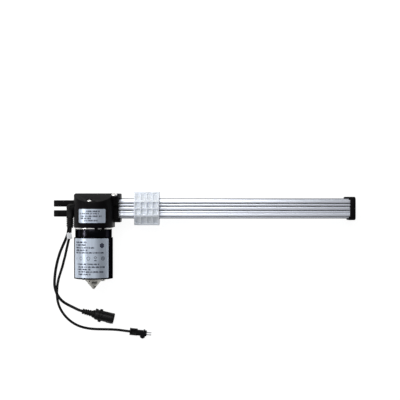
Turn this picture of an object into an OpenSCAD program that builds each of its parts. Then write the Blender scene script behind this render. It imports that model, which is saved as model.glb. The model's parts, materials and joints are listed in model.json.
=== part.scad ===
// Linear actuator for a reclining seat: a right-angle worm gear motor at one end of a grooved
// aluminium rail, and a moulded slider that a lead screw inside the rail pushes along it.
// The origin is the centre of the rear fork's pin hole. +X runs along the rail, +Y along the pin,
// and the flat rear of the gearbox faces -Z. The slider stands a little way out from its rear stop.

/* [Travel] */
// Distance from the fork's pin hole to the slider's bolt holes when retracted
min_install = 115; // [114:0.5:118]
// Travel of the slider
stroke = 307; // [300:1:307]
// How far the slider stands out from its rear stop
slider_out = 20.6; // [0:0.1:300]

/* [Rail] */
// Width and height of the rail
rail_w = 31.2; // [30.6:0.1:31.4]
// Wall thickness of the rail
rail_wall = 3.2; // [3:0.1:3.4]
// Corner chamfer of the rail
rail_chamfer = 2.4; // [1.6:0.1:3]
// Width of that chamfer across the rail's front
rail_bevel = 3.3; // [2.4:0.1:3.6]
// Width of the slot in the underside
slot_w = 10.4; // [9.6:0.2:11]
// Rear end of the rail
rail_x0 = 84.4; // [84.4:0.1:86]
// Front end of the rail
rail_x1 = 450.6; // [450:0.1:452]

/* [Slider] */
// Length of the slider along the rail
slider_len = 39; // [36:0.5:39]
// Width of the slider
slider_w = 52.2; // [50:0.2:54]
// Height of the slider's front face over the rail's axis
slider_front = 24; // [22.5:0.5:26]
// Depth of the slider below the rail's axis
slider_back = 21; // [20.5:0.5:21.5]
// Sliding clearance around the rail
slide_gap = 0.35; // [0.2:0.05:0.5]

/* [Gearbox] */
// Half height of the square part of the housing
half_h = 22; // [22:0.5:24]
// Radius of the domed front, which is also half the gearbox's length
crown_r = 30.2; // [29.8:0.1:30.2]
// Motor end of the gearbox
box_y0 = -29.4; // [-30:0.2:-29]
// Far end of the gearbox
box_y1 = 23.4; // [23:0.2:24]
// Wall thickness of the housing
box_wall = 2.6; // [2:0.1:3]
// Front end of the collar that holds the rail
collar_x1 = 94.8; // [94:0.1:95]

/* [Gears] */
// Module of the worm and the worm wheel
gear_m = 1.6; // [1.6:0.1:1.6]
// Teeth on the worm wheel
wheel_teeth = 20; // [20:1:20]
// Pitch radius of the worm
worm_pitch_r = 6; // [6:0.1:6]
// Face width of the worm wheel
wheel_face = 12; // [8:0.5:13]
// Slack between the teeth
backlash = 0.5; // [0.4:0.05:0.7]

/* [Motor] */
// Distance of the motor's axis from the pin hole along the rail
motor_x = 54; // [54:0.1:54.4]
// Radius of the motor can
can_r = 27.4; // [27:0.1:28]
// Radius of the flux ring around the can
ring_r = 29.9; // [29.4:0.1:30]
// Far end of the motor can
can_y0 = -108.2; // [-112:0.2:-107]
// Tip of the end bell
bell_tip_y = -124.2; // [-126:0.2:-123]

/* [Rear fork] */
// Radius of the pin hole
pin_r = 4.1; // [3.5:0.1:5]
// Gap between the fork's two ears
fork_gap = 5.6; // [5:0.1:7]
// Thickness of each ear
ear_t = 10; // [8:0.1:10.2]
// Radius of the ears' rounded end
ear_r = 9.8; // [8:0.1:10.5]

/* [Hidden] */
$fn = 64;

// Places that follow from the driving dimensions
motor_z = worm_pitch_r + gear_m * wheel_teeth / 2;
box_x0 = motor_x - crown_r;
box_x1 = motor_x + crown_r;
slider_x = min_install + slider_out;
wheel_pitch_r = gear_m * wheel_teeth / 2;
worm_lead = PI * gear_m;
worm_slope = worm_lead / (2 * PI * worm_pitch_r);
channel = rail_w / 2 - rail_wall;
fit = 0.05;            // radial clearance of every running fit

// The sloped end of the dome: its foot is the gearbox's far edge, and it leans back over slope_run
slope_run = 13.9;
slope_up = atan(slope_run / crown_r);
slope_k = 1 / cos(slope_up);

// Lead screw and its bearings: [inner radius, outer radius, width, start along the axis, balls]
screw_r = 6;
journal_r = 5;
screw_x0 = 31.5;
screw_x1 = 450;
rear_bearing = [5, 13, 8, 31, 8];
front_bearing = [6, 14, 8, 67, 9];
motor_bearing = [4, 11, 7, box_y0, 8];
race_share = 0.27;     // part of a bearing's wall taken up by each race

// Motor shaft
shaft_r = 4;
tip_r = 3;
worm_tip_y = 18.4;

// Bolts through the end of the can
bolt_turns = [50, 230];
bolt_circle_r = 20.8;

// Slider pockets
pocket_cols = 4;
pocket_pitch = 9.2;
pocket_w = 7.3;
flat_half = 10.7;
slope_pocket = [15, 1.4];   // length along the sloped side, and depth
front_pocket = [8.6, 2.2];  // width across the front face, and depth

// Colours
black = [0.05, 0.05, 0.055];
rubber = [0.08, 0.08, 0.085];
steel = [0.72, 0.73, 0.75];
zinc = [0.62, 0.61, 0.58];
paper = [0.85, 0.87, 0.9];
nylon = [0.86, 0.88, 0.9];

// Cord routes. The handset cord is round, and the power cord is a flat twin lead.
handset_r = 2.2;
power_half = [2, 1];
handset_route = [[14.8, -30, 15.6], [14.4, -34, 15.2], [13.5, -38.5, 14.2], [11.7, -43.5, 12.6],
    [9.2, -49, 10], [6.2, -55, 6], [2.9, -61.5, 1], [-0.3, -68, -4.5], [-3.3, -75.5, -10.5],
    [-6, -83.5, -15.6], [-8.2, -92, -18.8], [-9.8, -101, -19.8], [-10.7, -110, -19.8],
    [-11, -119, -19.1], [-9.4, -127.5, -17.7], [-6.4, -135.5, -17.5], [-1.8, -142.5, -17.6],
    [4.4, -148.2, -18.8], [12, -152.6, -19.2], [20, -156.4, -17.8], [27, -159.4, -15.2],
    [33.5, -161.4, -13.3]];
power_route = [[18.2, -30, 19.2], [18, -35, 19.4], [17.4, -40, 18.9], [16.2, -45, 17.3],
    [14.6, -50, 14.4], [12.8, -56, 9.8], [10.8, -62.5, 4.4], [8.8, -69, -1.6], [6.6, -76, -8.2],
    [4.2, -83, -14.2], [1.4, -92, -19], [-1.8, -101.5, -20.9], [-4.6, -111, -21], [-6.5, -121, -21],
    [-7.2, -131, -21], [-7, -140, -21], [-5.4, -149, -21], [-2, -158, -21], [3.6, -167, -21],
    [11.4, -175.4, -21], [20.6, -182, -21], [31, -186.6, -21], [42.4, -189.2, -21],
    [54.4, -190.3, -21], [66.6, -190.6, -21], [78.6, -190.9, -21], [90, -191.6, -20.4],
    [99.6, -192.7, -19], [107.8, -193.6, -18]];
din_r = 8.2;
din_lug = 10.2;
din_at = [33.5, -161.4, -13.3];
din_turn = -13.5;
plug_at = [107.8, -193.6, -18];
plug_turn = -5.3;

// A prism along X of an outline drawn in Y and Z
module prism_x(x0, x1) {
    translate([x0, 0, 0]) rotate([90, 0, 90]) linear_extrude(x1 - x0) children();
}

// A rod along X
module rod_x(r, x0, x1) {
    translate([x0, 0, 0]) rotate([0, 90, 0]) cylinder(r = r, h = x1 - x0);
}

// A rod along Y
module rod_y(r, y0, y1) {
    translate([0, y1, 0]) rotate([90, 0, 0]) cylinder(r = r, h = y1 - y0);
}

module tube_x(r_out, r_in, x0, x1) {
    difference() {
        rod_x(r_out, x0, x1);
        rod_x(r_in, x0 - 1, x1 + 1);
    }
}

module tube_y(r_out, r_in, y0, y1) {
    difference() {
        rod_y(r_out, y0, y1);
        rod_y(r_in, y0 - 1, y1 + 1);
    }
}

// Part of a tube along Y, between two angles measured from +Z towards +X
module arc_y(r_out, r_in, y0, y1, a0, a1) {
    translate([0, y1, 0]) rotate([90, 0, 0]) rotate([0, 0, 90 - a1])
        rotate_extrude(angle = a1 - a0) translate([r_in, 0]) square([r_out - r_in, y1 - y0]);
}

module at_motor() {
    translate([motor_x, 0, motor_z]) children();
}

// A frame on the dome's sloped end: x along the rail, s up the slope, local z out of it
module on_slope(x, s) {
    translate([x, box_y1 - s * sin(slope_up), motor_z + s * cos(slope_up)])
        rotate([slope_up - 90, 0, 0]) children();
}

// Square outline with chamfered corners, centred, for the rail and its passages
module chamfered(half, c) {
    intersection() {
        square(2 * half, center = true);
        rotate(45) square((2 * half - c) * sqrt(2), center = true);
    }
}

module rail_outline(grow = 0) {
    h = rail_w / 2 + grow;
    polygon([[h - rail_bevel, h], [h, h - rail_chamfer], [h, rail_chamfer - h], [h - rail_bevel, -h],
        [rail_bevel - h, -h], [-h, rail_chamfer - h], [-h, h - rail_chamfer], [rail_bevel - h, h]]);
}

// A pan-head screw that points down from z = 0, with a cross recess in its head
module pan_screw(head_r, head_h, shank_r, shank_l) {
    difference() {
        union() {
            cylinder(r = head_r, h = head_h * 0.6);
            translate([0, 0, head_h * 0.6]) cylinder(r1 = head_r, r2 = head_r * 0.7, h = head_h * 0.4);
            translate([0, 0, -shank_l]) cylinder(r = shank_r, h = shank_l + 0.1);
        }
        for (turn = [0, 90])
            rotate(turn) translate([-head_r * 0.55, -0.4, head_h * 0.5]) cube([head_r * 1.1, 0.8, head_h]);
    }
}

// Outside of the gearbox's main block, shrunk by t on every side
module gear_body(t = 0) {
    translate([box_x0 + t, box_y0 + t, -half_h + t])
        cube([box_x1 - box_x0 - 2 * t, box_y1 - box_y0 - 2 * t, half_h + motor_z - t]);
    intersection() {
        at_motor() rotate([0, 90, 0]) rod_y(crown_r - t, box_y0 + t, box_y1);
        prism_x(box_x0 - 1, box_x1 + 1) polygon([[box_y0 + t, motor_z - 1], [box_y1 - t * slope_k, motor_z - 1],
            [box_y1 - t * slope_k, motor_z], [box_y1 - t * slope_k - slope_run, motor_z + crown_r],
            [box_y0 + t, motor_z + crown_r]]);
    }
}

// Collar that grips the rail's end
collar_y = [-21.5, 23.2];
module collar_form() {
    prism_x(box_x1 - 1, collar_x1) polygon([[collar_y[0], -half_h + 3], [collar_y[0] + 3, -half_h],
        [collar_y[1] - 3, -half_h], [collar_y[1], -half_h + 3], [collar_y[1], half_h - 5],
        [collar_y[1] - 5, half_h], [collar_y[0] + 4, half_h], [collar_y[0], half_h - 4]]);
}

// Blocks across the inside that carry the lead screw's two bearings
module bearing_blocks(z0, z1) {
    for (block = [[30, 10], [66, 10]])
        translate([block[0], -17.5, z0]) cube([block[1], 35, z1 - z0]);
}

module bearing_bores() {
    for (b = [rear_bearing, front_bearing]) rod_x(b[1], b[3], b[3] + b[2]);
    rod_x(7.5, 28, 32);
    rod_x(10.5, 38, 68);
    rod_x(10.5, 74, 86);
}

// Screw pillars at the corners of the gearbox
pillars = [[30.4, -23.8], [77.6, -23.8], [30.4, 17.8], [77.6, 17.8]];
module screw_pillars(z0, z1) {
    for (p = pillars) translate([p[0], p[1], z0]) cylinder(r = 3.6, h = z1 - z0);
}

module front_half() {
    translate([0, -60, 0]) cube([120, 120, 80]);
}

module rear_half() {
    translate([0, -60, -80]) cube([120, 120, 80]);
}

// What is cut off to round the gearbox's far upright edge at the fork's end
module corner_round() {
    translate([box_x0, box_y1, -30]) difference() {
        translate([-1, 1 - corner_r, 0]) cube([corner_r + 1, corner_r, 90]);
        translate([corner_r, -corner_r, -1]) cylinder(r = corner_r, h = 92);
    }
}

corner_r = 3.6;
gland_at = [1.6, 17];     // Y and Z of the cord gland in the gearbox's rear wall
gland_r = 4.4;
clip_turns = [12.5, 35];   // turns of the two clips that hold the flange plate
boss_x = 86.4;
boss_s = 7.2;
recess_x = 49.2;
recess_s = 25.4;
rib_x = 57;
rib_s = 28.6;

module front_cover() {
    color(black) difference() {
        union() {
            intersection() {
                union() {
                    difference() {
                        gear_body();
                        gear_body(box_wall);
                    }
                    intersection() {
                        gear_body();
                        union() {
                            bearing_blocks(0, 16.4);
                            screw_pillars(0, 17);
                            at_motor() rod_y(7.6, 13.6, 19.4);
                            at_motor() rod_y(13.6, box_y0, box_y0 + motor_bearing[2]);
                            on_slope(recess_x, recess_s) translate([0, 0, -6]) cylinder(r = 5.2, h = 5);
                        }
                    }
                    collar_form();
                }
                front_half();
            }
            on_slope(boss_x, boss_s) translate([0, 0, -15]) cylinder(r = 6.4, h = 15);
            on_slope(rib_x, rib_s) translate([-2.2, -0.5, -1]) cube([4.4, 1, 1.7]);
            at_motor() for (turn = clip_turns) {
                arc_y(crown_r - 0.4, can_r + 1.3, -33.6, box_y0 + 0.2, turn - 5, turn + 5);
            }
        }
        bearing_bores();
        prism_x(rail_x0, collar_x1 + 1) rail_outline();
        at_motor() {
            rod_y(motor_bearing[1], box_y0 - 0.1, box_y0 + motor_bearing[2]);
            rod_y(9, box_y0 - 1, box_y0 + 9);
            rod_y(5, 13, worm_tip_y + 0.4);
        }
        translate([collar_x1 - 2.2, -rail_w / 2, 10]) cube([4, rail_w, 20]);
        translate([94.2, rail_w / 2 - 2, -1]) cube([6, 20, 30]);
        corner_round();
        translate([0, gland_at[0], gland_at[1]]) rod_x(gland_r, box_x0 - 1, box_x0 + 4);
        translate([box_x0 + box_wall, -13.5, -12]) cube([3.6, 27, 24]);
        translate([box_x0 - 1, -12.7, -11]) cube([4, 25.4, 22]);
        on_slope(recess_x, recess_s) translate([0, 0, -2.4]) cylinder(r = 4.4, h = 6);
        on_slope(recess_x, recess_s) translate([0, 0, -9]) cylinder(r = 1.6, h = 9);
        on_slope(boss_x, boss_s) translate([0, 0, -12]) cylinder(r = 1.8, h = 13);
        for (p = pillars) translate([p[0], p[1], -1]) cylinder(r = 1.5, h = 14);
        for (side = [-1, 1]) at_motor() translate([side * 19, 0, 0]) rod_y(1.6, box_y0 - 1, box_y0 + 8);
    }
}

module rear_housing() {
    color(black) difference() {
        union() {
            intersection() {
                union() {
                    difference() {
                        gear_body();
                        gear_body(box_wall);
                    }
                    bearing_blocks(-half_h + 1, 0);
                    screw_pillars(-half_h + 1, 0);
                    collar_form();
                }
                rear_half();
            }
            for (y = [-20, 0, 20]) translate([box_x1 - 1, y - 1.2, -half_h]) cube([3, 2.4, 5]);
        }
        bearing_bores();
        prism_x(rail_x0, collar_x1 + 1) rail_outline();
        corner_round();
        translate([box_x0 + box_wall, -13.5, -12]) cube([3.6, 27, 24]);
        translate([box_x0 - 1, -12.7, -11]) cube([4, 25.4, 22]);
        for (p = pillars) translate([p[0], p[1], -half_h - 1]) {
            cylinder(r = 1.9, h = 40);
            cylinder(r = 3.1, h = 4);
        }
        // Lightening panels in the flat rear
        for (x = [36, 58]) translate([x, -14, -half_h - 1]) cube([14, 28, 1.8]);
    }
}

module housing_screws() {
    color(steel) for (p = pillars)
        translate([p[0], p[1], -half_h + 3]) rotate([180, 0, 0]) pan_screw(2.9, 2.4, 1.5, 26);
}

module cover_screws() {
    color(steel) {
        on_slope(boss_x, boss_s) pan_screw(4.3, 2.4, 1.8, 11);
        on_slope(recess_x, recess_s) translate([0, 0, -2.4]) pan_screw(3.4, 2, 1.6, 5);
    }
}

module gearbox_label() {
    color(paper) at_motor() arc_y(crown_r + 0.15, crown_r, -21.8, -0.6, -43, 41.5);
}

module rear_fork() {
    color(black) difference() {
        union() {
            for (side = [-1, 1])
                translate([0, side * (fork_gap + ear_t) / 2, 0]) {
                    rod_y(ear_r, -ear_t / 2, ear_t / 2);
                    translate([0, -ear_t / 2, -ear_r]) cube([12, ear_t, 2 * ear_r]);
                    prism_xz(ear_t) polygon([[12, -ear_r], [18, -11], [22, -11], [22, 11], [18, 11],
                        [12, ear_r]]);
                }
            translate([18, -12.6, -11]) cube([box_x0 + box_wall - 18 + 0.1, 25.2, 22]);
            translate([box_x0 + box_wall, -13.5, -12]) cube([3.2, 27, 24]);
        }
        rod_y(pin_r + 2, -30, 30);
        // Shallow panels on the ears' outer faces
        for (side = [-1, 1])
            translate([11.4, side * (fork_gap / 2 + ear_t), 0]) cube([5, 1.6, 12], center = true);
    }
}

// A prism along Y, centred on y = 0, of an outline drawn in X and Z
module prism_xz(width) {
    translate([0, width / 2, 0]) rotate([90, 0, 0]) linear_extrude(width) children();
}

module fork_bushes() {
    color(steel) for (side = [-1, 1]) translate([0, side * (fork_gap + ear_t) / 2, 0])
        tube_y(pin_r + 2, pin_r, -ear_t / 2, ear_t / 2);
}

module flange_plate() {
    color(zinc) at_motor() difference() {
        rod_y(can_r + 1.2, box_y0 - 2, box_y0);
        rod_y(9, box_y0 - 3, box_y0 + 1);
        for (side = [-1, 1]) translate([side * 19, 0, 0]) rod_y(1.9, box_y0 - 3, box_y0 + 1);
    }
}

module flange_screws() {
    color(steel) at_motor() for (side = [-1, 1]) translate([side * 19, box_y0 - 2, 0])
        rotate([90, 0, 0]) pan_screw(3, 2, 1.6, 9);
}

module motor_can() {
    color(black) at_motor() difference() {
        union() {
            rod_y(can_r, can_y0, box_y0 - 2.5);
            rod_y(can_r + 0.9, ring_y[1] + 0.2, box_y0 - 2);
        }
        rod_y(can_r - 1.8, can_y0 + 2, box_y0 - 1);
        rod_y(10, can_y0 - 1, can_y0 + 3);
        for (turn = bolt_turns) rotate([0, turn, 0])
            translate([0, 0, bolt_circle_r]) rod_y(2, can_y0 - 1, can_y0 + 3);
    }
}

ring_y = [-107.6, -44.3];
module flux_ring() {
    color(black) at_motor() difference() {
        tube_y(ring_r, can_r, ring_y[0], ring_y[1]);
        rotate([0, 59, 0]) translate([-0.6, ring_y[0] - 1, can_r - 1]) cube([1.2, 70, 5]);
    }
}

module motor_label() {
    color(paper) at_motor() arc_y(ring_r + 0.15, ring_r, -105.8, -45.5, -68, 54);
}

module magnets() {
    color([0.22, 0.22, 0.24]) at_motor() for (turn = [0, 180])
        arc_y(can_r - 1.8, 20.4, -100, -50, turn - 65, turn + 65);
}

module brush_plate() {
    color([0.35, 0.22, 0.12]) at_motor() {
        tube_y(can_r - 1.8, 10.5, -37.4, -35.4);
        for (side = [-1, 1]) difference() {
            translate([side * 14.4 - 5, -47, -4]) cube([10, 9.7, 8]);
            translate([side * 14.4 - 6, -46, -3]) cube([12, 7.7, 6]);
        }
    }
}

module brushes() {
    color([0.16, 0.16, 0.17]) at_motor() for (side = [-1, 1])
        translate([side * 13.6 - 4.3, -46, -3]) cube([8.6, 7.7, 6]);
}

bell_y = can_y0;
module end_bell() {
    color(zinc) at_motor() difference() {
        union() {
            translate([0, bell_y, 0]) rotate([90, 0, 0])
                cylinder(r1 = 15, r2 = 1.2, h = bell_y - bell_tip_y);
            rod_y(10, bell_y - 0.1, bell_y + 3);
        }
        for (turn = [13 : 90 : 340]) rotate([0, turn, 0])
            translate([-4.3, bell_y - 6.8, 7.4]) cube([8.6, 3.2, 12]);
        for (turn = [35 : 120 : 340]) rotate([0, turn, 0])
            translate([-1.5, bell_y - 13.6, 2.2]) cube([3, 2.6, 8]);
        for (turn = [-26, -58, 154, 122]) rotate([0, turn, 0])
            translate([-1.4, bell_y - 4.4, 9.6]) cube([2.8, 2.2, 6]);
        rod_y(5, bell_y - 7, bell_y + 4);
    }
}

module motor_bush() {
    color([0.72, 0.52, 0.26]) at_motor() tube_y(5, tip_r + fit, bell_y - 7, bell_y + 3);
}

module worm_bush() {
    color([0.72, 0.52, 0.26]) at_motor() tube_y(5, tip_r + fit, 13.8, worm_tip_y + 0.2);
}

module motor_bolts() {
    color(steel) at_motor() for (turn = bolt_turns) rotate([0, turn, 0]) translate([0, can_y0, bolt_circle_r])
        rotate([90, 0, 0]) difference() {
            union() {
                cylinder(r = 3.4, h = 2.6, $fn = 6);
                cylinder(r = 4, h = 0.6);
                translate([0, 0, -6]) cylinder(r = 2, h = 6.1);
            }
            translate([-3, -0.4, 2]) cube([6, 0.8, 1]);
        }
}

// Faces of a polyhedron swept through rings of n points each, listed ring after ring
function sweep_faces(rings, n) = concat(
    [[for (k = [0 : n - 1]) k]],
    [for (i = [0 : rings - 2], k = [0 : n - 1])
        [i * n + k, (i + 1) * n + k, (i + 1) * n + (k + 1) % n, i * n + (k + 1) % n]],
    [[for (k = [n - 1 : -1 : 0]) (rings - 1) * n + k]]);

// The worm's thread: a trapezoid carried round the shaft, right-handed, one lead a turn
worm_steps = 24;
worm_turns = 4.5;
function worm_section(r_tip, slack) = let (
        mid = worm_lead / 4 - slack / 4,
        lean = tan(20),
        root = shaft_r - 0.3)
    [[root, -mid - (worm_pitch_r - root) * lean], [r_tip, -mid + (r_tip - worm_pitch_r) * lean],
        [r_tip, mid - (r_tip - worm_pitch_r) * lean], [root, mid + (worm_pitch_r - root) * lean]];

module worm_thread() {
    n = worm_steps * worm_turns;
    points = [for (i = [0 : n]) let (
            turn = 180 + (i - n / 2) * 360 / worm_steps,
            y = worm_lead * (i - n / 2) / worm_steps,
            run_out = min(i, n - i, 5) / 5,
            r_tip = shaft_r + 0.4 + (worm_pitch_r + gear_m - shaft_r - 0.4) * run_out)
        for (p = worm_section(r_tip, backlash)) [p[0] * sin(turn), y + p[1], p[0] * cos(turn)]];
    polyhedron(points, sweep_faces(n + 1, 4));
}

module motor_shaft() {
    color(steel) at_motor() {
        rod_y(shaft_r, -105, 13.4);
        rod_y(tip_r, bell_y - 6.6, -104);
        rod_y(tip_r, 13, worm_tip_y);
    }
}

module worm() {
    color(steel) at_motor() difference() {
        worm_thread();
        rod_y(shaft_r, -20, 20);
    }
}

module armature_core() {
    color([0.45, 0.45, 0.47]) at_motor() difference() {
        rod_y(19.6, -95, -55);
        rod_y(shaft_r, -96, -54);
        for (turn = [0 : 30 : 330]) rotate([0, turn, 0]) {
            translate([-1, -96, 16.5]) cube([2, 42, 4]);
            translate([0, 0, 14.2]) rod_y(2.9, -96, -54);
        }
    }
}

module windings() {
    color([0.72, 0.38, 0.16]) at_motor() {
        for (turn = [0 : 30 : 330]) rotate([0, turn, 0]) translate([0, 0, 14.2]) rod_y(2.7, -96, -54);
        tube_y(17, 8, -99.5, -95.2);
        tube_y(17, 8, -54.8, -51);
    }
}

module commutator() {
    color([0.75, 0.45, 0.22]) at_motor() difference() {
        tube_y(9, shaft_r, -49, -37.8);
        for (turn = [0 : 30 : 330]) rotate([0, turn, 0]) translate([-0.25, -50, 8]) cube([0.5, 14, 2]);
    }
}

// Races and balls of a bearing lying along Z from z = 0
function race_t(b) = (b[1] - b[0]) * race_share;
module outer_race(b) {
    difference() {
        cylinder(r = b[1], h = b[2]);
        translate([0, 0, -1]) cylinder(r = b[1] - race_t(b), h = b[2] + 2);
    }
}

module inner_race(b) {
    difference() {
        cylinder(r = b[0] + race_t(b), h = b[2]);
        translate([0, 0, -1]) cylinder(r = b[0], h = b[2] + 2);
    }
}

module balls(b) {
    for (k = [0 : b[4] - 1]) rotate(k * 360 / b[4])
        translate([(b[0] + b[1]) / 2, 0, b[2] / 2]) sphere(r = (b[1] - b[0]) / 2 - race_t(b) - 0.03);
}

module at_bearing_x(b) {
    translate([b[3], 0, 0]) rotate([0, 90, 0]) children();
}

module at_bearing_y(b) {
    at_motor() translate([0, b[3] + b[2], 0]) rotate([90, 0, 0]) children();
}

module bearing_outer_races() {
    color(steel) {
        for (b = [rear_bearing, front_bearing]) at_bearing_x(b) outer_race(b);
        at_bearing_y(motor_bearing) outer_race(motor_bearing);
    }
}

module bearing_balls() {
    color([0.85, 0.85, 0.87]) {
        for (b = [rear_bearing, front_bearing]) at_bearing_x(b) balls(b);
        at_bearing_y(motor_bearing) balls(motor_bearing);
    }
}

module motor_inner_race() {
    color(steel) at_bearing_y(motor_bearing) inner_race(motor_bearing);
}

module screw_inner_races() {
    color(steel) for (b = [rear_bearing, front_bearing]) at_bearing_x(b) inner_race(b);
}

key = [10, 3, 1.4];        // length, width, and how far it stands into the wheel
module lead_screw() {
    color(steel) difference() {
        union() {
            rod_x(journal_r, screw_x0, 41);
            rod_x(screw_r, 39.2, 444.6);
            rod_x(4, 444, screw_x1);
        }
        translate([motor_x - key[0] / 2, -key[1] / 2, screw_r - 1.4]) cube([key[0], key[1], 3]);
    }
}

module wheel_key() {
    color(steel) translate([motor_x - key[0] / 2, -key[1] / 2, screw_r - 1.4])
        cube([key[0], key[1], 1.4 + key[2]]);
}

// Involute tooth outline of the worm wheel
base_r = wheel_pitch_r * cos(20);
function inv_deg(a) = tan(a) * 180 / PI - a;
function flank_turn(r) = (PI * gear_m / 2 - backlash / 2) / (2 * wheel_pitch_r) * 180 / PI
    + inv_deg(20) - inv_deg(acos(min(1, base_r / r)));
tooth_radii = [wheel_pitch_r - 2.05, base_r, 15.8, 16.8, wheel_pitch_r + gear_m];
module wheel_outline() {
    polygon([for (k = [0 : wheel_teeth - 1], i = [0 : 9]) let (
            mid = (k + 0.5) * 360 / wheel_teeth,
            r = i < 5 ? tooth_radii[i] : tooth_radii[9 - i],
            turn = mid + (i < 5 ? -1 : 1) * flank_turn(max(r, base_r)))
        [r * cos(turn), r * sin(turn)]]);
}

module worm_wheel() {
    lead_turn = worm_slope / wheel_pitch_r * 180 / PI * wheel_face;
    color(nylon) difference() {
        union() {
            translate([motor_x - wheel_face / 2, 0, 0]) rotate([90, 0, 90]) rotate(-lead_turn / 2)
                linear_extrude(wheel_face, twist = -lead_turn, slices = 5) wheel_outline();
            rod_x(9.4, rear_bearing[3] + rear_bearing[2] + 0.6, front_bearing[3] - 0.6);
            rod_x(6.9, rear_bearing[3] + rear_bearing[2], front_bearing[3]);
        }
        rod_x(screw_r, 30, 80);
        translate([motor_x - key[0] / 2, -key[1] / 2, 0]) cube([key[0], key[1], screw_r + key[2]]);
    }
}

// Grooves along the rail's front face, [place, width, depth], and along its sides
front_grooves = [[7.8, 1.5, 2.3], [3.2, 1.5, 2.3], [-3.1, 1.5, 2.3], [-7.6, 0.7, 0.7], [-12.75, 1, 2.3]];
side_grooves = [-7, 0, 7];
groove = [1.4, 1.4];       // width and depth of a side groove
module rail() {
    color(steel) prism_x(rail_x0, rail_x1) difference() {
        rail_outline();
        chamfered(channel, 2);
        translate([-slot_w / 2, -rail_w]) square([slot_w, rail_w]);
        for (g = front_grooves) translate([g[0] - g[1] / 2, rail_w / 2 - g[2]]) square([g[1], 3]);
        for (side = [-1, 1], z = side_grooves)
            translate([side * rail_w / 2 - groove[1], z - groove[0] / 2]) square([2 * groove[1], groove[0]]);
    }
}

cap_r = 18.15;
module end_cap() {
    color(black) difference() {
        union() {
            prism_x(rail_x1, 459.2) chamfered(cap_r, 3.4);
            prism_x(445.4, rail_x1) intersection() {
                chamfered(channel, 2);
                translate([-channel, -channel + 0.4]) square([2 * channel, 2 * channel]);
            }
            // The skirt reaches further back on one side than on the other
            intersection() {
                prism_x(443.2, rail_x1 + 1) difference() {
                    chamfered(cap_r, 3.4);
                    rail_outline();
                }
                union() {
                    translate([448.4, -20, -20]) cube([5, 40, 35.2]);
                    linear_y(2 * cap_r) polygon([[443.2, -9], [449, -13], [449, 13], [443.2, 9]]);
                }
            }
        }
        rod_x(7, 445, rail_x1);
        for (side = [-1, 1]) translate([0, side * 9.4, 0]) rod_x(1.5, 444, 459.3);
        for (side = [-1, 1]) translate([0, side * 9.4, 0]) rod_x(3, 457, 459.3);
    }
}

// A slab on the far side of the rail, of an outline drawn in X and Z
module linear_y(width) {
    translate([0, width, 0]) rotate([90, 0, 0]) linear_extrude(width) children();
}

module end_bush() {
    color([0.72, 0.52, 0.26]) tube_x(7, 4 + fit, 445, rail_x1);
}

module end_cap_screws() {
    color(steel) for (side = [-1, 1]) translate([457, side * 9.4, 0]) rotate([0, 90, 0])
        pan_screw(2.9, 2, 1.5, 11);
}

module limit_board() {
    color([0.1, 0.35, 0.18]) translate([86, channel - 1.2, -5]) cube([358, 1.2, 10]);
}

module limit_switches() {
    color([0.12, 0.12, 0.14]) for (x = [87, 438.2]) translate([x, 7.2, 0]) {
        translate([0, 0, -4.6]) cube([6, 4, 9.2]);
    }
    color(steel) {
        translate([93, 7.2, 1]) cube([5.4, 0.6, 3]);
        translate([437.4, 7.2, 1]) cube([0.8, 0.6, 3]);
    }
}

nut_len = 29;
module drive_nut() {
    color([0.82, 0.8, 0.7]) translate([slider_x, 0, 0]) difference() {
        union() {
            prism_x(-nut_len / 2, nut_len / 2) intersection() {
                chamfered(channel - 0.5, 2.2);
                translate([-10.6, -channel]) square([17.4, 2 * channel]);
            }
            translate([-12, -slot_w / 2 + 0.5, -18.6]) cube([24, slot_w - 1, 9]);
        }
        rod_x(screw_r + fit, -20, 20);
        for (x = [-7, 7]) translate([x, 0, -19]) cylinder(r = 2, h = 8);
    }
}

module slider_outline() {
    half = slider_w / 2;
    drop = half - flat_half;
    polygon([[flat_half, slider_front], [half, slider_front - drop], [half, -12], [20, -slider_back],
        [-20, -slider_back], [-half, -12], [-half, slider_front - drop], [-flat_half, slider_front]]);
}

module slider_pockets() {
    drop = (slider_w / 2 - flat_half) / 2;
    for (k = [0 : pocket_cols - 1]) translate([(k - (pocket_cols - 1) / 2) * pocket_pitch, 0, 0]) {
        for (side = [-1, 1]) {
            translate([0, side * 5.2, slider_front])
                cube([pocket_w, front_pocket[0], 2 * front_pocket[1]], center = true);
            translate([0, side * (flat_half + drop), slider_front - drop]) rotate([side * -45, 0, 0])
                cube([pocket_w, slope_pocket[0], 2 * slope_pocket[1]], center = true);
        }
    }
}

module slider() {
    color(nylon) translate([slider_x, 0, 0]) difference() {
        prism_x(-slider_len / 2, slider_len / 2) difference() {
            slider_outline();
            rail_outline(slide_gap);
        }
        slider_pockets();
        rod_y(6, -30, 30);
        translate([-12, -slot_w / 2 + 0.5, -18.6]) cube([24, slot_w - 1, 9]);
        for (x = [-7, 7]) translate([x, 0, -25]) {
            cylinder(r = 2.2, h = 9);
            cylinder(r = 4.2, h = 5);
        }
    }
}

insert_y = [16.3, slider_w / 2];
module slider_inserts() {
    color(steel) translate([slider_x, 0, 0]) for (side = [-1, 1]) {
        y0 = side > 0 ? insert_y[0] : -insert_y[1];
        tube_y(6, 3.4, y0, y0 + insert_y[1] - insert_y[0]);
    }
}

module nut_screws() {
    color(steel) for (x = [-7, 7]) translate([slider_x + x, 0, -20]) rotate([180, 0, 0])
        pan_screw(4, 0.9, 2, 8.6);
}

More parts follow.
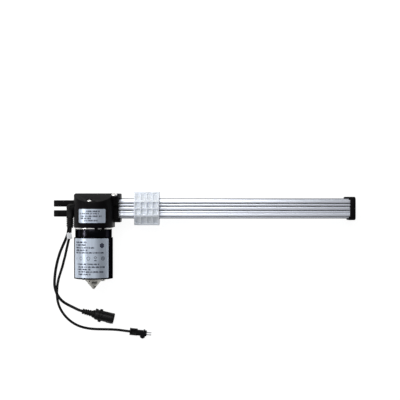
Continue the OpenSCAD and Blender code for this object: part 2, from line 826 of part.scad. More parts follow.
// Cord gland: an elbow that leaves the gearbox's rear wall and turns towards the motor
boot_r = 5.6;
boot_x = 17.3;
boot_z = 17.4;
module cord_boot() {
    color(rubber) {
        translate([0, gland_at[0], gland_at[1]]) rod_x(gland_r, box_x0 - 4, box_x0 + box_wall + 1.4);
        translate([boot_x, gland_at[0], boot_z]) {
            sphere(r = boot_r);
            rod_x(boot_r, 0, box_x0 - boot_x);
            rod_y(boot_r - 0.2, -16, 0);
            for (k = [0 : 4]) rod_y(boot_r, -29.2 + 3 * k, -27.4 + 3 * k);
            rod_y(boot_r - 0.9, -30 - gland_at[0], -15);
            translate([0.4, 1.8, 4.6]) sphere(r = 1.4);
        }
    }
}

module cord_tag() {
    color([0.95, 0.95, 0.95]) translate([16.4, -42, 18.6]) rotate([16, 0, 4]) {
        translate([-3.9, -4.8, 0.9]) cube([7.8, 9.6, 0.5]);
        translate([-2.6, -4.8, -1.5]) cube([5.2, 9.6, 0.5]);
        for (x = [-2.6, 2.1]) translate([x, -4.8, -1.3]) cube([0.5, 9.6, 2.4]);
    }
}

// A tube swept along a route: sides points a ring, half-widths across and up
function unit(v) = v / norm(v);
function along(route, i) = unit(route[min(i + 1, len(route) - 1)] - route[max(i - 1, 0)]);
function across(dir) = unit(cross(dir, [0, 0, 1]));
module cord(route, half, sides) {
    points = [for (i = [0 : len(route) - 1]) let (
            dir = along(route, i),
            side = across(dir),
            up = cross(side, dir))
        for (k = [0 : sides - 1]) let (turn = (k + 0.5) * 360 / sides)
            route[i] + half[0] * cos(turn) * side + half[1] * sin(turn) * up];
    polyhedron(points, sweep_faces(len(route), sides));
}

module handset_cord() {
    color(rubber) cord(handset_route, [handset_r, handset_r], 10);
}

module power_cord() {
    color(rubber) cord(power_route, power_half, 8);
}

// A frame on each connector, with local z along its axis
module at_din() {
    translate(din_at) rotate([0, 0, din_turn]) rotate([0, 90, 0]) children();
}

module at_plug() {
    translate(plug_at) rotate([0, 0, plug_turn]) children();
}

module din_boot() {
    color(rubber) at_din() difference() {
        union() {
            cylinder(r1 = 4.2, r2 = 5.3, h = 18);
            translate([0, 0, 17]) cylinder(r = 6.2, h = 3);
        }
        for (k = [0 : 3]) translate([0, 0, 2.6 + k * 3.7]) difference() {
            cylinder(r = 7, h = 1.5);
            translate([0, 0, -0.5]) cylinder(r = 3.5 + k * 0.25, h = 2.5);
        }
    }
}

din_len = 51;
module din_shell() {
    color(black) at_din() difference() {
        union() {
            translate([0, 0, 20]) cylinder(r1 = 6.8, r2 = din_r, h = 2);
            translate([0, 0, 22]) cylinder(r = din_r, h = 26);
            translate([0, 0, 48]) cylinder(r1 = 8.5, r2 = 8.1, h = din_len - 48);
            translate([-3, 6, 20]) cube([6, 3, 4]);
            translate([-2, -8.6, 40]) cube([4, 2, 9]);
        }
        translate([0, 0, 22]) cylinder(r = 6.6, h = 40);
        translate([-8, -1.2, 44]) cube([3, 2.4, 8]);
        for (turn = [40 : 20 : 140]) rotate(turn) translate([7.4, -0.4, 33]) cube([2, 0.8, 10]);
    }
}

module din_ring() {
    color(black) at_din() difference() {
        union() {
            translate([0, 0, 26.4]) cylinder(r = din_r + 0.4, h = 1.6);
            translate([0, 0, 30.6]) cylinder(r = din_r + 0.4, h = 1.6);
            translate([-2.6, -din_lug, 27]) cube([5.2, 2 * din_lug, 4.4]);
        }
        translate([0, 0, 25]) cylinder(r = din_r, h = 9);
    }
}

contact_r = 3.5;
contact_turns = [0, 45, 90, 135, 180];
module din_insert() {
    color([0.2, 0.2, 0.21]) at_din() difference() {
        translate([0, 0, 22]) cylinder(r = 6.6, h = 22.4);
        for (turn = contact_turns) rotate(turn + 90) translate([contact_r, 0, 30]) cylinder(r = 1, h = 16);
    }
}

module din_contacts() {
    color([0.8, 0.68, 0.35]) at_din() for (turn = contact_turns)
        rotate(turn + 90) translate([contact_r, 0, 30]) difference() {
            cylinder(r = 1, h = 14.2);
            translate([0, 0, 6]) cylinder(r = 0.6, h = 10);
        }
}

module plug_body() {
    color(black) at_plug() difference() {
        union() {
            translate([0, -5.3, -4]) cube([12, 10.6, 8]);
            translate([12, -5, -4]) cube([14.6, 8.6, 8]);
            translate([20.6, -5, -4]) cylinder(r = 4.2, h = 8);
            translate([21.6, 3.4, -2.4]) cube([2.4, 1.8, 4.8]);
            translate([0, -5.8, -3]) cube([1.4, 11.6, 6]);
        }
        translate([2.6, -2, 2.2]) cube([7, 4.6, 3]);
        translate([-1, -2, -1]) cube([4, 4, 2]);
        translate([22.6, -3.9, -1.8]) cube([5, 6, 3.6]);
    }
}

module plug_pins() {
    color(steel) at_plug() for (y = [-2.6, 0.8]) translate([0, y, 0]) {
        rod_x(0.8, 22.6, 33.4);
        translate([33.4, 0, 0]) sphere(r = 0.8);
    }
}

front_cover();
rear_housing();
housing_screws();
cover_screws();
gearbox_label();
rear_fork();
fork_bushes();
flange_plate();
flange_screws();
motor_can();
flux_ring();
motor_label();
magnets();
brush_plate();
brushes();
end_bell();
motor_bush();
worm_bush();
motor_bolts();
motor_shaft();
worm();
armature_core();
windings();
commutator();
bearing_outer_races();
bearing_balls();
motor_inner_race();
screw_inner_races();
lead_screw();
worm_wheel();
wheel_key();
rail();
end_cap();
end_bush();
end_cap_screws();
limit_board();
limit_switches();
drive_nut();
slider();
slider_inserts();
nut_screws();
cord_boot();
cord_tag();
handset_cord();
din_boot();
din_shell();
din_ring();
din_insert();
din_contacts();
power_cord();
plug_body();
plug_pins();
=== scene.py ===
"""Linear actuator: finished meshes, materials, cords, floor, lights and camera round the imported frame.

Places and sizes are in millimetres until a mesh is made. Blender's own units are metres.
"""
import json
import math

import bmesh
import bpy
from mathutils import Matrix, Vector

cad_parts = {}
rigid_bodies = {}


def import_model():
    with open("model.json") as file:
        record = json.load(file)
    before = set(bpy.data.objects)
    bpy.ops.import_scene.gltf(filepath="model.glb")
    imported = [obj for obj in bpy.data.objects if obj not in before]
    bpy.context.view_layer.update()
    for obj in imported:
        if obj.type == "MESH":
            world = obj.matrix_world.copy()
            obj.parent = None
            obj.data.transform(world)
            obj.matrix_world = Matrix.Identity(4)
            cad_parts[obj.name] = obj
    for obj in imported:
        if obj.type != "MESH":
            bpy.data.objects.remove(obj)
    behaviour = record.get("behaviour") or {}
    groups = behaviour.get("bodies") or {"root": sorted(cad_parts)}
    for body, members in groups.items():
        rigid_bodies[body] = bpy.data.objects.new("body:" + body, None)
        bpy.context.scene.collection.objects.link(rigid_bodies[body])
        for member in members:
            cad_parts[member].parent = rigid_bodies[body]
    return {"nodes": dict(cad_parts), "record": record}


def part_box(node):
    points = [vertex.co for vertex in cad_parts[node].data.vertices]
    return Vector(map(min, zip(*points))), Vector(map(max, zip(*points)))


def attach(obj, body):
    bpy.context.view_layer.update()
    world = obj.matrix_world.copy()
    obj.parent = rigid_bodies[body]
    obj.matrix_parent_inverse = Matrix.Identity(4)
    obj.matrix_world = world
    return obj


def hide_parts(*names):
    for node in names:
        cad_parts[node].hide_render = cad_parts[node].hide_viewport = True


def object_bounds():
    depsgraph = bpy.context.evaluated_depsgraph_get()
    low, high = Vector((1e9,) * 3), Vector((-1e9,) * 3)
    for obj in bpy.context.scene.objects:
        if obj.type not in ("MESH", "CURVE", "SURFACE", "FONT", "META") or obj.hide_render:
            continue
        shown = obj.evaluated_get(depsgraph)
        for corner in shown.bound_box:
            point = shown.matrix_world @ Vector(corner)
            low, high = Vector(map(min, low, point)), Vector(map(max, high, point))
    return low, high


for old in list(bpy.data.objects):
    bpy.data.objects.remove(old)
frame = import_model()
CAD_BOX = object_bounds()
NODES = frame["nodes"]
RECORD = frame["record"]
SCENE = bpy.context.scene.collection
MM = 0.001

shaft_low, shaft_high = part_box("motor_shaft")
MOTOR_X = (shaft_low.x + shaft_high.x) / 2 / MM
MOTOR_Z = (shaft_low.z + shaft_high.z) / 2 / MM
FLOOR = CAD_BOX[0].z / MM


# ---------------------------------------------------------------- camera, straight above the part
camera_data = bpy.data.cameras.new("camera")
camera_data.sensor_width = 36.0
camera_data.lens = 115.4
camera_data.clip_end = 20.0
camera = bpy.data.objects.new("camera", camera_data)
camera.location = (0.2182, 0.0131, 2.0)
camera.rotation_euler = (0.0, 0.0, 0.0)
SCENE.objects.link(camera)
bpy.context.scene.camera = camera


# ---------------------------------------------------------------- materials
def surface(name, color, rough, metal=0.0, tone=0.12, tone_scale=45.0, rough_span=0.1, stretch=(1, 1, 1),
            grain=0.0, grain_scale=1800.0, coat=0.0, sss=0.0, spec=0.5, edge=1.0):
    """A principled surface whose colour and roughness drift with noise, with a fine relief on top.

    tone is how far the colour drifts, rough_span how far the roughness does and grain how deep the relief
    is. stretch draws the noise out along an axis, and edge is the tint of what a grazing ray mirrors.
    """
    m = bpy.data.materials.new(name)
    m.use_nodes = True
    nodes, links = m.node_tree.nodes, m.node_tree.links
    bsdf = nodes["Principled BSDF"]
    place = nodes.new("ShaderNodeTexCoord")
    mapping = nodes.new("ShaderNodeMapping")
    mapping.inputs["Scale"].default_value = stretch
    links.new(place.outputs["Object"], mapping.inputs["Vector"])

    def noise(scale, detail):
        cloud = nodes.new("ShaderNodeTexNoise")
        cloud.inputs["Scale"].default_value = scale
        cloud.inputs["Detail"].default_value = detail
        links.new(mapping.outputs["Vector"], cloud.inputs["Vector"])
        return cloud.outputs["Fac"]

    ramp = nodes.new("ShaderNodeValToRGB")
    dark, light = ramp.color_ramp.elements
    dark.position, light.position = 0.3, 0.7
    dark.color = (*[c * (1 - tone) for c in color], 1)
    light.color = (*[min(1.0, c * (1 + tone)) for c in color], 1)
    links.new(noise(tone_scale, 4.0), ramp.inputs["Fac"])
    links.new(ramp.outputs["Color"], bsdf.inputs["Base Color"])

    spread = nodes.new("ShaderNodeMapRange")
    spread.inputs["To Min"].default_value = max(0.02, rough - rough_span)
    spread.inputs["To Max"].default_value = min(1.0, rough + rough_span)
    links.new(noise(tone_scale * 4.3, 5.0), spread.inputs["Value"])
    links.new(spread.outputs["Result"], bsdf.inputs["Roughness"])

    if grain:
        bump = nodes.new("ShaderNodeBump")
        bump.inputs["Strength"].default_value = grain
        bump.inputs["Distance"].default_value = 0.0002
        links.new(noise(grain_scale, 3.0), bump.inputs["Height"])
        links.new(bump.outputs["Normal"], bsdf.inputs["Normal"])
    bsdf.inputs["Metallic"].default_value = metal
    bsdf.inputs["Coat Weight"].default_value = coat
    bsdf.inputs["Coat Roughness"].default_value = 0.1
    bsdf.inputs["Specular IOR Level"].default_value = spec
    bsdf.inputs["Specular Tint"].default_value = (edge, edge, edge, 1)
    if sss:
        bsdf.inputs["Subsurface Weight"].default_value = sss
        bsdf.inputs["Subsurface Radius"].default_value = (1.0, 1.0, 1.1)
        bsdf.inputs["Subsurface Scale"].default_value = 0.01
    return m


MAT = {
    "black_plastic": surface("black_plastic", (0.0026, 0.0022, 0.0027), 0.48, tone=0.25, tone_scale=60,
                             grain=0.3, grain_scale=2600, rough_span=0.08, spec=0.05),
    "black_paint": surface("black_paint", (0.0135, 0.013, 0.017), 0.21, metal=1.0, tone=0.15, grain=0.02,
                           grain_scale=500, rough_span=0.03, edge=0.2),
    # The label's colour drifts in broad bands across the turn: foil streaks that also stand in for bands of
    # painted sheen
    "silver_label": surface("silver_label", (0.495, 0.555, 0.65), 0.42, metal=0.5, tone=0.22, tone_scale=80,
                            stretch=(1, 0.1, 0.4), grain=0.04, grain_scale=900, rough_span=0.05),
    "zinc": surface("zinc", (0.42, 0.41, 0.38), 0.4, metal=0.9, tone=0.22, tone_scale=140, grain=0.6,
                    grain_scale=1500),
    "screw_steel": surface("screw_steel", (0.78, 0.77, 0.75), 0.3, metal=0.9, tone=0.08, tone_scale=180,
                           grain=0.15, grain_scale=2200, rough_span=0.08),
    "core_steel": surface("core_steel", (0.34, 0.34, 0.36), 0.4, metal=0.9, stretch=(1, 40, 1), grain=0.4,
                          grain_scale=300),
    "ferrite": surface("ferrite", (0.075, 0.073, 0.075), 0.62, metal=0.2, tone=0.15, grain=0.5),
    "brown_laminate": surface("brown_laminate", (0.22, 0.115, 0.05), 0.45, tone=0.2, tone_scale=120,
                              grain=0.2),
    "bronze": surface("bronze", (0.55, 0.36, 0.16), 0.36, metal=0.95, tone=0.15, tone_scale=200, grain=0.4),
    "copper": surface("copper", (0.62, 0.25, 0.10), 0.28, metal=0.95, tone=0.15, tone_scale=160, grain=0.3,
                      grain_scale=900, coat=0.5),
    "ivory_plastic": surface("ivory_plastic", (0.72, 0.68, 0.55), 0.4, tone=0.06, sss=0.15, grain=0.15),
    "rail_aluminium": surface("rail_aluminium", (0.83, 0.865, 0.945), 0.46, metal=0.75, tone=0.04,
                              tone_scale=700, stretch=(0.01, 1, 1), grain=0.12, grain_scale=2400,
                              rough_span=0.05),
    "board_green": surface("board_green", (0.03, 0.16, 0.06), 0.35, tone=0.15, grain=0.1, coat=0.4),
    "milky_nylon": surface("milky_nylon", (0.67, 0.71, 0.77), 0.6, tone=0.02, tone_scale=50, sss=0.55,
                           grain=0.04, grain_scale=1200, rough_span=0.04, spec=0.15),
    "black_rubber": surface("black_rubber", (0.004, 0.0038, 0.0042), 0.5, tone=0.25, tone_scale=80,
                            grain=0.3, grain_scale=1600, spec=0.12),
    "connector_black": surface("connector_black", (0.0045, 0.0042, 0.0050), 0.4, tone=0.2, tone_scale=90,
                               grain=0.16, grain_scale=2000, rough_span=0.06, spec=0.12),
    "contact_gold": surface("contact_gold", (0.78, 0.55, 0.2), 0.22, metal=1.0, tone=0.1, tone_scale=400),
    "white_tag": surface("white_tag", (0.70, 0.71, 0.74), 0.55, tone=0.05, tone_scale=120, grain=0.2,
                         grain_scale=700),
}
PRINT = surface("label_print", (0.010, 0.011, 0.030), 0.5, tone=0.15, spec=0.2)
# Painted shade: a dark grey put on the faces inside the rail's grooves and on its front edges, where they lie
# in shade
GROOVE_SHADE = surface("painted_groove_shade", (0.085, 0.09, 0.11), 0.6, metal=0.3, tone=0.2, tone_scale=300,
                 stretch=(0.05, 1, 1), grain=0.1)

SLOTS = {part["node"]: part["material_slot"] for part in RECORD["subparts"]}
SLOTS["plug_pins"] = "core_steel"  # duller than the other steel
BODIES = {node: body for body, members in RECORD["behaviour"]["bodies"].items() for node in members}
for node, ob in NODES.items():
    ob.data.materials.clear()
    ob.data.materials.append(MAT[SLOTS[node]])


# ---------------------------------------------------------------- helpers
def add(name, made):
    """A new object in the scene, from a mesh or a bmesh."""
    mesh = made
    if isinstance(made, bmesh.types.BMesh):
        mesh = bpy.data.meshes.new(name)
        made.normal_update()
        made.to_mesh(mesh)
        made.free()
    mesh.name = name
    ob = bpy.data.objects.new(name, mesh)
    SCENE.objects.link(ob)
    return ob


def smooth(ob, angle=32):
    """Shades a piece smooth, apart from edges sharper than an angle."""
    ob.data.shade_smooth()
    ob.data.set_sharp_from_angle(angle=math.radians(angle))


def stands_for(ob, node):
    """Gives a piece its node's material, body and slot, and hides the node."""
    ob.data.materials.clear()
    ob.data.materials.append(MAT[SLOTS[node]])
    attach(ob, BODIES[node])
    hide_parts(node)
    return ob


def limits(vertices):
    """Lowest and highest corner of some vertices."""
    return [[pick(v.co[k] for v in vertices) for k in range(3)] for pick in (min, max)]


def keep_inside(bm, low, high):
    """Brings a mesh's vertices back inside a box."""
    for v in bm.verts:
        v.co = [min(max(c, a), b) for c, a, b in zip(v.co, low, high)]


# ---------------------------------------------------------------- cords
HANDSET_R = 2.2
HANDSET = [(14.8, -30, 15.6), (14.4, -34, 15.2), (13.5, -38.5, 14.2), (11.7, -43.5, 12.6),
           (9.2, -49, 10), (6.2, -55, 6), (2.9, -61.5, 1), (-0.3, -68, -4.5), (-3.3, -75.5, -10.5),
           (-6, -83.5, -15.6), (-8.2, -92, -18.8), (-9.8, -101, -19.8), (-10.7, -110, -19.8),
           (-11, -119, -19.1), (-9.4, -127.5, -17.7), (-6.4, -135.5, -17.5), (-1.8, -142.5, -17.6),
           (4.4, -148.2, -18.8), (12, -152.6, -19.2), (20, -156.4, -17.8), (27, -159.4, -15.2),
           (33.5, -161.4, -13.3)]
POWER_R = 2.0
POWER = [(18.2, -30, 19.2), (18, -35, 19.4), (17.4, -40, 18.9), (16.2, -45, 17.3),
         (14.6, -50, 14.4), (12.8, -56, 9.8), (10.8, -62.5, 4.4), (8.8, -69, -1.6), (6.6, -76, -8.2),
         (4.2, -83, -14.2), (1.4, -92, -19), (-1.8, -101.5, -20.9), (-4.6, -111, -21), (-6.5, -121, -21),
         (-7.2, -131, -21), (-7, -140, -21), (-5.4, -149, -21), (-2, -158, -21), (3.6, -167, -21),
         (11.4, -175.4, -21), (20.6, -182, -21), (31, -186.6, -21), (42.4, -189.2, -21),
         (54.4, -190.3, -21), (66.6, -190.6, -21), (78.6, -190.9, -21), (90, -191.6, -20.4),
         (99.6, -192.7, -19), (107.8, -193.6, -18)]


def curve_through(route, steps):
    """Points of a smooth curve through a route, steps to a span."""
    pts = [Vector(p) for p in route]
    pts = [2 * pts[0] - pts[1]] + pts + [2 * pts[-1] - pts[-2]]
    out = []
    for i in range(1, len(pts) - 2):
        a, b, c, d = pts[i - 1:i + 3]
        for s in [k / steps for k in range(steps)]:
            out.append(0.5 * (2 * b + (c - a) * s + (2 * a - 5 * b + 4 * c - d) * s * s
                              + (3 * b - a - 3 * c + d) * s ** 3))
    out.append(pts[-2])
    return out


def tube(name, line, section):
    """A closed tube along a line. section lists the offsets (across, up) of one ring."""
    bm = bmesh.new()
    rings = []
    for i, p in enumerate(line):
        ahead = (line[min(i + 1, len(line) - 1)] - line[max(i - 1, 0)]).normalized()
        across = ahead.cross(Vector((0, 0, 1))).normalized()
        up = across.cross(ahead)
        rings.append([bm.verts.new((p + across * u + up * v) * MM) for u, v in section])
    n = len(section)
    for a, b in zip(rings, rings[1:]):
        for k in range(n):
            bm.faces.new((a[k], a[(k + 1) % n], b[(k + 1) % n], b[k]))
    bm.faces.new(list(reversed(rings[0])))
    bm.faces.new(rings[-1])
    bmesh.ops.recalc_face_normals(bm, faces=bm.faces)
    keep_inside(bm, *CAD_BOX)
    ob = add(name, bm)
    smooth(ob, 50)
    return ob


def turns(count):
    """Angles of a ring's points, none of them straight above its middle."""
    return [math.tau * (k + 0.5) / count for k in range(count)]


def twin(a):
    """A point of two round cores side by side in one flat jacket, with a groove between them."""
    across = POWER_R * math.cos(a)
    waist = 0.78 + 0.22 * min(1.0, abs(across) / 0.9)
    return across, waist * math.copysign(abs(math.sin(a)) ** 0.75, math.sin(a))


handset_line = curve_through(HANDSET, 10)
power_line = curve_through(POWER, 8)
handset = tube("handset_cord_piece", handset_line,
               [(HANDSET_R * math.cos(a), HANDSET_R * math.sin(a)) for a in turns(20)])
power = tube("power_cord_piece", power_line, [twin(a) for a in turns(28)])
stands_for(handset, "handset_cord")
stands_for(power, "power_cord")


# ---------------------------------------------------------------- pieces made from their nodes
WELD = 3e-6                # in metres: vertices nearer than this are one
FLAT = math.radians(0.6)   # faces that meet at less than this are one
CREASE = math.radians(38)  # edges sharper than this are rounded
SLIVER = 4e-7              # in square metres: edges beside a smaller face are left as they are


def refined(node, width, segments, rim=None, cuts=()):
    """A node's own shape with flat faces merged and its edges rounded.

    rim is a test that picks the edges to round more than the rest, and their width. cuts are places
    across Y where faces are split, so that a strip of them can take a material of its own.
    """
    mesh = NODES[node].data.copy()
    bm = bmesh.new()
    bm.from_mesh(mesh)
    bmesh.ops.remove_doubles(bm, verts=bm.verts, dist=WELD)
    bmesh.ops.dissolve_limit(bm, angle_limit=FLAT, verts=bm.verts, edges=bm.edges,
                             use_dissolve_boundaries=False)
    for y in cuts:
        bmesh.ops.bisect_plane(bm, geom=bm.verts[:] + bm.edges[:] + bm.faces[:], plane_co=(0, y * MM, 0),
                               plane_no=(0, 1, 0))
    bm.normal_update()
    if rim:
        picks, rim_width = rim
        bmesh.ops.bevel(bm, geom=[e for e in bm.edges if picks(e)], offset=rim_width * MM,
                        offset_type="OFFSET", segments=6, profile=0.5, affect="EDGES", clamp_overlap=False)
        bm.normal_update()
    edges = [e for e in bm.edges if len(e.link_faces) == 2 and e.calc_face_angle(0) > CREASE
             and min(f.calc_area() for f in e.link_faces) > SLIVER]
    bmesh.ops.bevel(bm, geom=edges, offset=width * MM, offset_type="OFFSET", segments=segments, profile=0.5,
                    affect="EDGES", clamp_overlap=False, miter_outer="SHARP", miter_inner="SHARP")
    keep_inside(bm, *limits(NODES[node].data.vertices))
    bm.to_mesh(mesh)
    bm.free()
    ob = add(node + "_piece", mesh)
    smooth(ob)
    return stands_for(ob, node)


# How far each node's edges are rounded, and in how many steps
ROUNDED = {
    "front_cover": (0.7, 3), "rear_housing": (0.5, 3), "housing_screws": (0.15, 2),
    "cover_screws": (0.25, 2), "rear_fork": (0.9, 4), "fork_bushes": (0.3, 2), "flange_plate": (0.3, 2),
    "flange_screws": (0.15, 2), "motor_can": (0.8, 3), "flux_ring": (0.5, 3), "end_bell": (0.3, 2),
    "motor_bolts": (0.2, 2), "rail": (0.15, 2), "end_cap": (0.4, 2), "end_cap_screws": (0.15, 2),
    "cord_boot": (0.25, 2), "cord_tag": (0.12, 2), "din_boot": (0.3, 2), "din_shell": (0.3, 2),
    "din_ring": (0.3, 2), "plug_body": (0.4, 3), "plug_pins": (0.1, 2), "slider": (0.6, 3),
    "slider_inserts": (0.2, 2), "nut_screws": (0.15, 2),
}
CAP_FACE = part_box("end_cap")[1].x - 0.1 * MM  # just inside the end cap's outer face
SCREW_AREA = 12 * MM                          # half the square that holds the end cap's screws


def on_cap_rim(edge):
    return all(v.co.x > CAP_FACE and max(abs(v.co.y), abs(v.co.z)) > SCREW_AREA for v in edge.verts)


RAIL_EDGE = 14.6  # painted shade, a dark line, runs along the rail's front edges from here outwards, across Y
SPECIAL = {"end_cap": {"rim": (on_cap_rim, 2.4)}, "rail": {"cuts": (-RAIL_EDGE, RAIL_EDGE)}}
PIECE = {node: refined(node, *how, **SPECIAL.get(node, {})) for node, how in ROUNDED.items()}

# Painted shade darkens the grooves in the rail's front face, given as (middle, half-width), and its front
# edges
GROOVES = ((7.8, 0.76), (3.2, 0.76), (-3.1, 0.76), (-12.75, 0.51))
GROOVE_FLOOR, RAIL_FACE = 13, 15.48
PIECE["rail"].data.materials.append(GROOVE_SHADE)
for face in PIECE["rail"].data.polygons:
    y, z = face.center.y / MM, face.center.z / MM
    in_groove = GROOVE_FLOOR < z < RAIL_FACE and any(abs(y - middle) < half for middle, half in GROOVES)
    on_edge = abs(y) > RAIL_EDGE and face.normal.z > 0.2
    if in_groove or on_edge:
        face.material_index = 1


# ---------------------------------------------------------------- lead screw with its two-start thread
CREST_R, ROOT_R = 6.0, 5.0
LEAD, STARTS = 6.0, 2
JOURNAL_R, JOURNAL_END = 5.0, 39.2
TAIL_R, TAIL_START = 4.0, 444.6
THREAD_START, THREAD_END = 86.0, 440.4
THREAD_STEP = 0.6
SCREW_SIDES = 20


def threaded(x, turn):
    """Radius of the thread at a place along the screw and a turn round it: flat crests and roots."""
    from_root = abs(2 * ((STARTS * (x / LEAD - turn / math.tau)) % 1) - 1)
    return ROOT_R + (CREST_R - ROOT_R) * min(1, max(0, (from_root - 0.35) / 0.3))


def lead_screw():
    """The whole screw as rings along X. A ring without a radius of its own follows the thread."""
    low, high = limits(NODES["lead_screw"].data.vertices)
    thread_rings = int((THREAD_END - THREAD_START) / THREAD_STEP)
    stations = [(low[0] / MM, JOURNAL_R), (JOURNAL_END, JOURNAL_R), (JOURNAL_END, CREST_R),
                (THREAD_START, CREST_R)]
    stations += [(THREAD_START + THREAD_STEP * k, None) for k in range(1, thread_rings)]
    stations += [(THREAD_END, CREST_R), (TAIL_START, CREST_R), (TAIL_START, TAIL_R), (high[0] / MM, TAIL_R)]
    bm = bmesh.new()
    rings = []
    for x, radius in stations:
        ring = []
        for turn in [math.tau * k / SCREW_SIDES for k in range(SCREW_SIDES)]:
            r = radius or threaded(x, turn)
            ring.append(bm.verts.new(Vector((x, r * math.cos(turn), r * math.sin(turn))) * MM))
        rings.append(ring)
    for a, b in zip(rings, rings[1:]):
        for k in range(SCREW_SIDES):
            j = (k + 1) % SCREW_SIDES
            bm.faces.new((a[k], b[k], b[j], a[j]))
    bm.faces.new(rings[0])
    bm.faces.new(rings[-1])
    bmesh.ops.recalc_face_normals(bm, faces=bm.faces)
    ob = add("lead_screw_piece", bm)
    smooth(ob)
    return stands_for(ob, "lead_screw")


lead_screw()


# ---------------------------------------------------------------- labels, wrapped round the motor's axis
LABEL_THICK = 0.097
CORNER = 1.6
GEARBOX_R, MOTOR_R = 30.3, 30.0  # outer faces of the two labels
UNDER, PROUD = 0.01, 0.03        # how far the print reaches under and over a label's face


def on_cylinder(r, turn, y):
    """A place on a cylinder round the motor's axis. turn is in degrees from straight up, towards +X."""
    a = math.radians(turn)
    return Vector((MOTOR_X + r * math.sin(a), y, MOTOR_Z + r * math.cos(a))) * MM


def wrapped(bm, r0, r1, columns):
    """A thin closed sheet wrapped on a cylinder. columns are (turn, lowest y, highest y) in order of turn."""
    rings = [[bm.verts.new(on_cylinder(r, turn, y)) for r, y in ((r0, lo), (r1, lo), (r1, hi), (r0, hi))]
             for turn, lo, hi in columns]
    for a, b in zip(rings, rings[1:]):
        for k in range(4):
            bm.faces.new((a[k], b[k], b[(k + 1) % 4], a[(k + 1) % 4]))
    bm.faces.new(rings[0])
    bm.faces.new(list(reversed(rings[-1])))


def rounded_columns(r, t0, t1, y0, y1):
    """Columns of a sheet with round corners."""
    width = math.radians(t1 - t0) * r
    steps = [CORNER * (1 - math.cos(math.pi * k / 12)) for k in range(7)]
    middle = [CORNER + (width - 2 * CORNER) * k / 40 for k in range(1, 40)]
    out = []
    for u in steps + middle + [width - u for u in reversed(steps)]:
        near = min(u, width - u)
        cut = CORNER - math.sqrt(max(0, CORNER ** 2 - (CORNER - near) ** 2)) if near < CORNER else 0
        out.append((t0 + math.degrees(u / r), y0 + cut, y1 - cut))
    return out


def sticker(node, r, t0, t1, y0, y1):
    bm = bmesh.new()
    wrapped(bm, r - LABEL_THICK, r, rounded_columns(r, t0, t1, y0, y1))
    bmesh.ops.recalc_face_normals(bm, faces=bm.faces)
    ob = add(node + "_piece", bm)
    smooth(ob, 30)
    return stands_for(ob, node)


sticker("gearbox_label", GEARBOX_R, -43, 41.5, -21.8, -0.6)
sticker("motor_label", MOTOR_R, -66, 54, -105.8, -45.5)


# ---------------------------------------------------------------- generic marks on the labels
PITCH, STROKE = 1.3, 0.68  # from one character to the next, and a stroke's width


def bar(bm, r, t0, t1, y0, y1):
    """A level bar of print, split often enough to follow the cylinder."""
    n = max(1, math.ceil((t1 - t0) / 3))
    wrapped(bm, r - UNDER, r + PROUD, [(t0 + (t1 - t0) * k / n, y0, y1) for k in range(n + 1)])


def chance(*seed):
    """A repeatable number from 0 to 1."""
    return (math.sin(sum(n * f for n, f in zip(seed, (12.9898, 78.233, 37.719)))) * 43758.5453) % 1


def words(bm, r, t0, t1, y, height, key):
    """A row of small upright and level strokes in groups, like print too small to read."""
    pitch, thin = math.degrees(PITCH / r), math.degrees(STROKE / r)
    low, high = y - height / 2, y + height / 2
    t, group = t0, 0
    while t < t1 - pitch:
        for k in range(2 + int(6 * chance(key, group))):
            if t > t1 - pitch:
                break
            bar(bm, r, t, t + thin, low, high)
            right = t + pitch * 0.8
            if chance(key, group, k) < 0.7:
                bar(bm, r, right - thin, right, low, high if k % 3 else y)
            for n, level in enumerate((low, y - STROKE / 2, high - STROKE)):
                if chance(key + n, group, k + 5) < 0.65:
                    bar(bm, r, t + thin, right - thin, level, level + STROKE)
            t += pitch
        t, group = t + pitch * 0.7, group + 1


def outline(bm, r, turn, y, size, sides, width):
    """An open outline of some sides, drawn as one closed band that follows the cylinder."""
    corners = [Vector((size * math.sin(a), size * math.cos(a)))
               for a in [math.tau * k / sides for k in range(sides)]]
    steps = math.ceil((corners[1] - corners[0]).length)
    path = [a.lerp(b, k / steps) for a, b in zip(corners, corners[1:] + corners[:1]) for k in range(steps)]
    inner = 1 - width / size
    rows = [[bm.verts.new(on_cylinder(at, turn + math.degrees(p.x * scale / r), y + p.y * scale))
             for p in path]
            for at, scale in ((r - UNDER, 1), (r + PROUD, 1), (r + PROUD, inner), (r - UNDER, inner))]
    for a, b in zip(rows, rows[1:] + rows[:1]):
        for k in range(len(path)):
            j = (k + 1) % len(path)
            bm.faces.new((a[k], b[k], b[j], a[j]))


# Rows of print: first turn, last turn, y
GEARBOX_ROWS = [(-17.5, 23.5, -4.1), (-38, 20.5, -7.5), (-35.7, 29.7, -11.6), (-35.7, -2.6, -14.9),
                (-23.8, 20.5, -18.2)]
UPPER_ROWS = [(-56.5, -14.6, -51.4), (-56.5, -14.6, -55.5), (-56.5, 8.9, -59.6), (-56.5, -11.6, -63.6)]
LOWER_ROWS = [(-56.5, 40, -67.2), (-45, 23.7, -84.7), (-45, 40, -89), (-45, -4.2, -92.6),
              (-45, 37.9, -96.4), (-45, -2.7, -100.2)]
# Bars: first turn, last turn, lowest y, highest y
BARS = [(-49.5, -47.5, -85.4, -84.0), (-49.5, -47.5, -93.3, -91.9), (27.4, 32.6, -57.8, -55.0),
        (-53.2, -51.6, -78, -74), (6.6, 13.4, -79.8, -78.5), (31.6, 34.8, -76.6, -75.4)]
# Outlines: turn, y, size, sides, width
OUTLINES = [(30, -56.4, 4.0, 6, 2.0), (-34.7, -76, 2.8, 20, 0.6), (-10.7, -76, 3.2, 5, 0.8),
            (10, -74.6, 2.5, 4, 0.8), (33.2, -76, 3, 14, 1.0)]

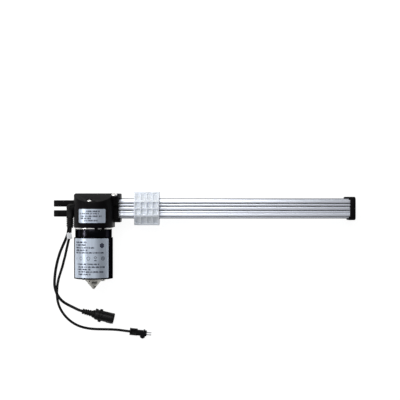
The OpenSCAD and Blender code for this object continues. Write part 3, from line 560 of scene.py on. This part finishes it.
marks = bmesh.new()
for k, row in enumerate(GEARBOX_ROWS):
    words(marks, GEARBOX_R, *row, 2.4, k + 1)
for k, row in enumerate(UPPER_ROWS + LOWER_ROWS):
    words(marks, MOTOR_R, *row, 2.6 if row in UPPER_ROWS else 2.3, k + 11)
for place in BARS:
    bar(marks, MOTOR_R, *place)
for shape in OUTLINES:
    outline(marks, MOTOR_R, *shape)
bmesh.ops.recalc_face_normals(marks, faces=marks.faces)
label_marks = add("label_marks", marks)
label_marks.data.materials.append(PRINT)
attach(label_marks, "housing")


# ---------------------------------------------------------------- floor and light
floor_bm = bmesh.new()
bmesh.ops.create_grid(floor_bm, x_segments=2, y_segments=2, size=4)
floor = add("floor", floor_bm)
floor.location = (0.2, 0, (FLOOR - 0.05) * MM)
floor_material = surface("floor_white", (0.20, 0.20, 0.20), 0.9, tone=0.01, tone_scale=2, spec=0.1)
floor_shader = floor_material.node_tree.nodes["Principled BSDF"]
floor_shader.inputs["Emission Color"].default_value = (1, 1, 1, 1)
floor_shader.inputs["Emission Strength"].default_value = 0.92
floor.data.materials.append(floor_material)

world = bpy.data.worlds.new("studio")
bpy.context.scene.world = world
world.use_nodes = True
world.node_tree.nodes["Background"].inputs["Color"].default_value = (0.96, 0.98, 1.0, 1)
world.node_tree.nodes["Background"].inputs["Strength"].default_value = 0.14


def softbox(name, place, target, size, watts):
    """A rectangular area light at a place, turned to a target."""
    lamp = bpy.data.lights.new(name, "AREA")
    lamp.shape = "RECTANGLE"
    lamp.size, lamp.size_y = size
    lamp.energy = watts
    ob = bpy.data.objects.new(name, lamp)
    ob.location = place
    ob.rotation_euler = (Vector(target) - Vector(place)).to_track_quat("-Z", "Y").to_euler()
    SCENE.objects.link(ob)


softbox("key", (-0.45, 0.95, 1.0), (0.08, 0.0, 0), (1.2, 1.0), 15.5)
softbox("top", (0.1, 0.75, 1.8), (0.2, 0.0, 0), (1.6, 0.7), 13)
softbox("strip", (-1.05, -0.05, 0.8), (0.05, -0.04, 0), (0.5, 0.06), 5)
softbox("fill", (0.3, -1.3, 0.9), (0.15, 0.0, 0), (1.4, 0.8), 2.5)

bpy.context.scene.view_settings.view_transform = "Standard"
